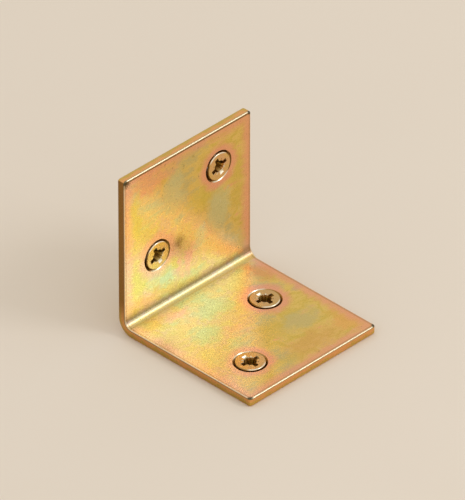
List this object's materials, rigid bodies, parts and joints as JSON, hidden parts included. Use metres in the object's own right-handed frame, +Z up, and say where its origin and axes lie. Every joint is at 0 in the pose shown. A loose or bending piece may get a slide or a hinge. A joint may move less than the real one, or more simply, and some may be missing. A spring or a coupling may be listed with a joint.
{
  "type": "corner brace bracket",
  "caption": "Right-angle corner brace folded from yellow-passivated steel sheet, with countersunk wood screws seated in the staggered holes of both legs.",
  "frame": {"origin": "middle of the two shelf-leg screw holes, on the shelf leg's mounting face", "axes": "+Z up along the upright leg and out of the shelf's surface, +Y out of the upright leg's mounting face into what it is fixed to, X along the fold"},
  "size_m": [0.04, 0.051, 0.051],
  "materials": {
    "passivated_sheet": "yellow zinc passivate, satin, with olive, pink and gold interference tints",
    "passivated_screw": "yellow zinc passivate, satin, orange gold"
  },
  "bodies": {
    "root": {"bracket": "passivated_sheet", "wall_screws": "passivated_screw", "shelf_screws": "passivated_screw"}
  },
  "joints": []
}
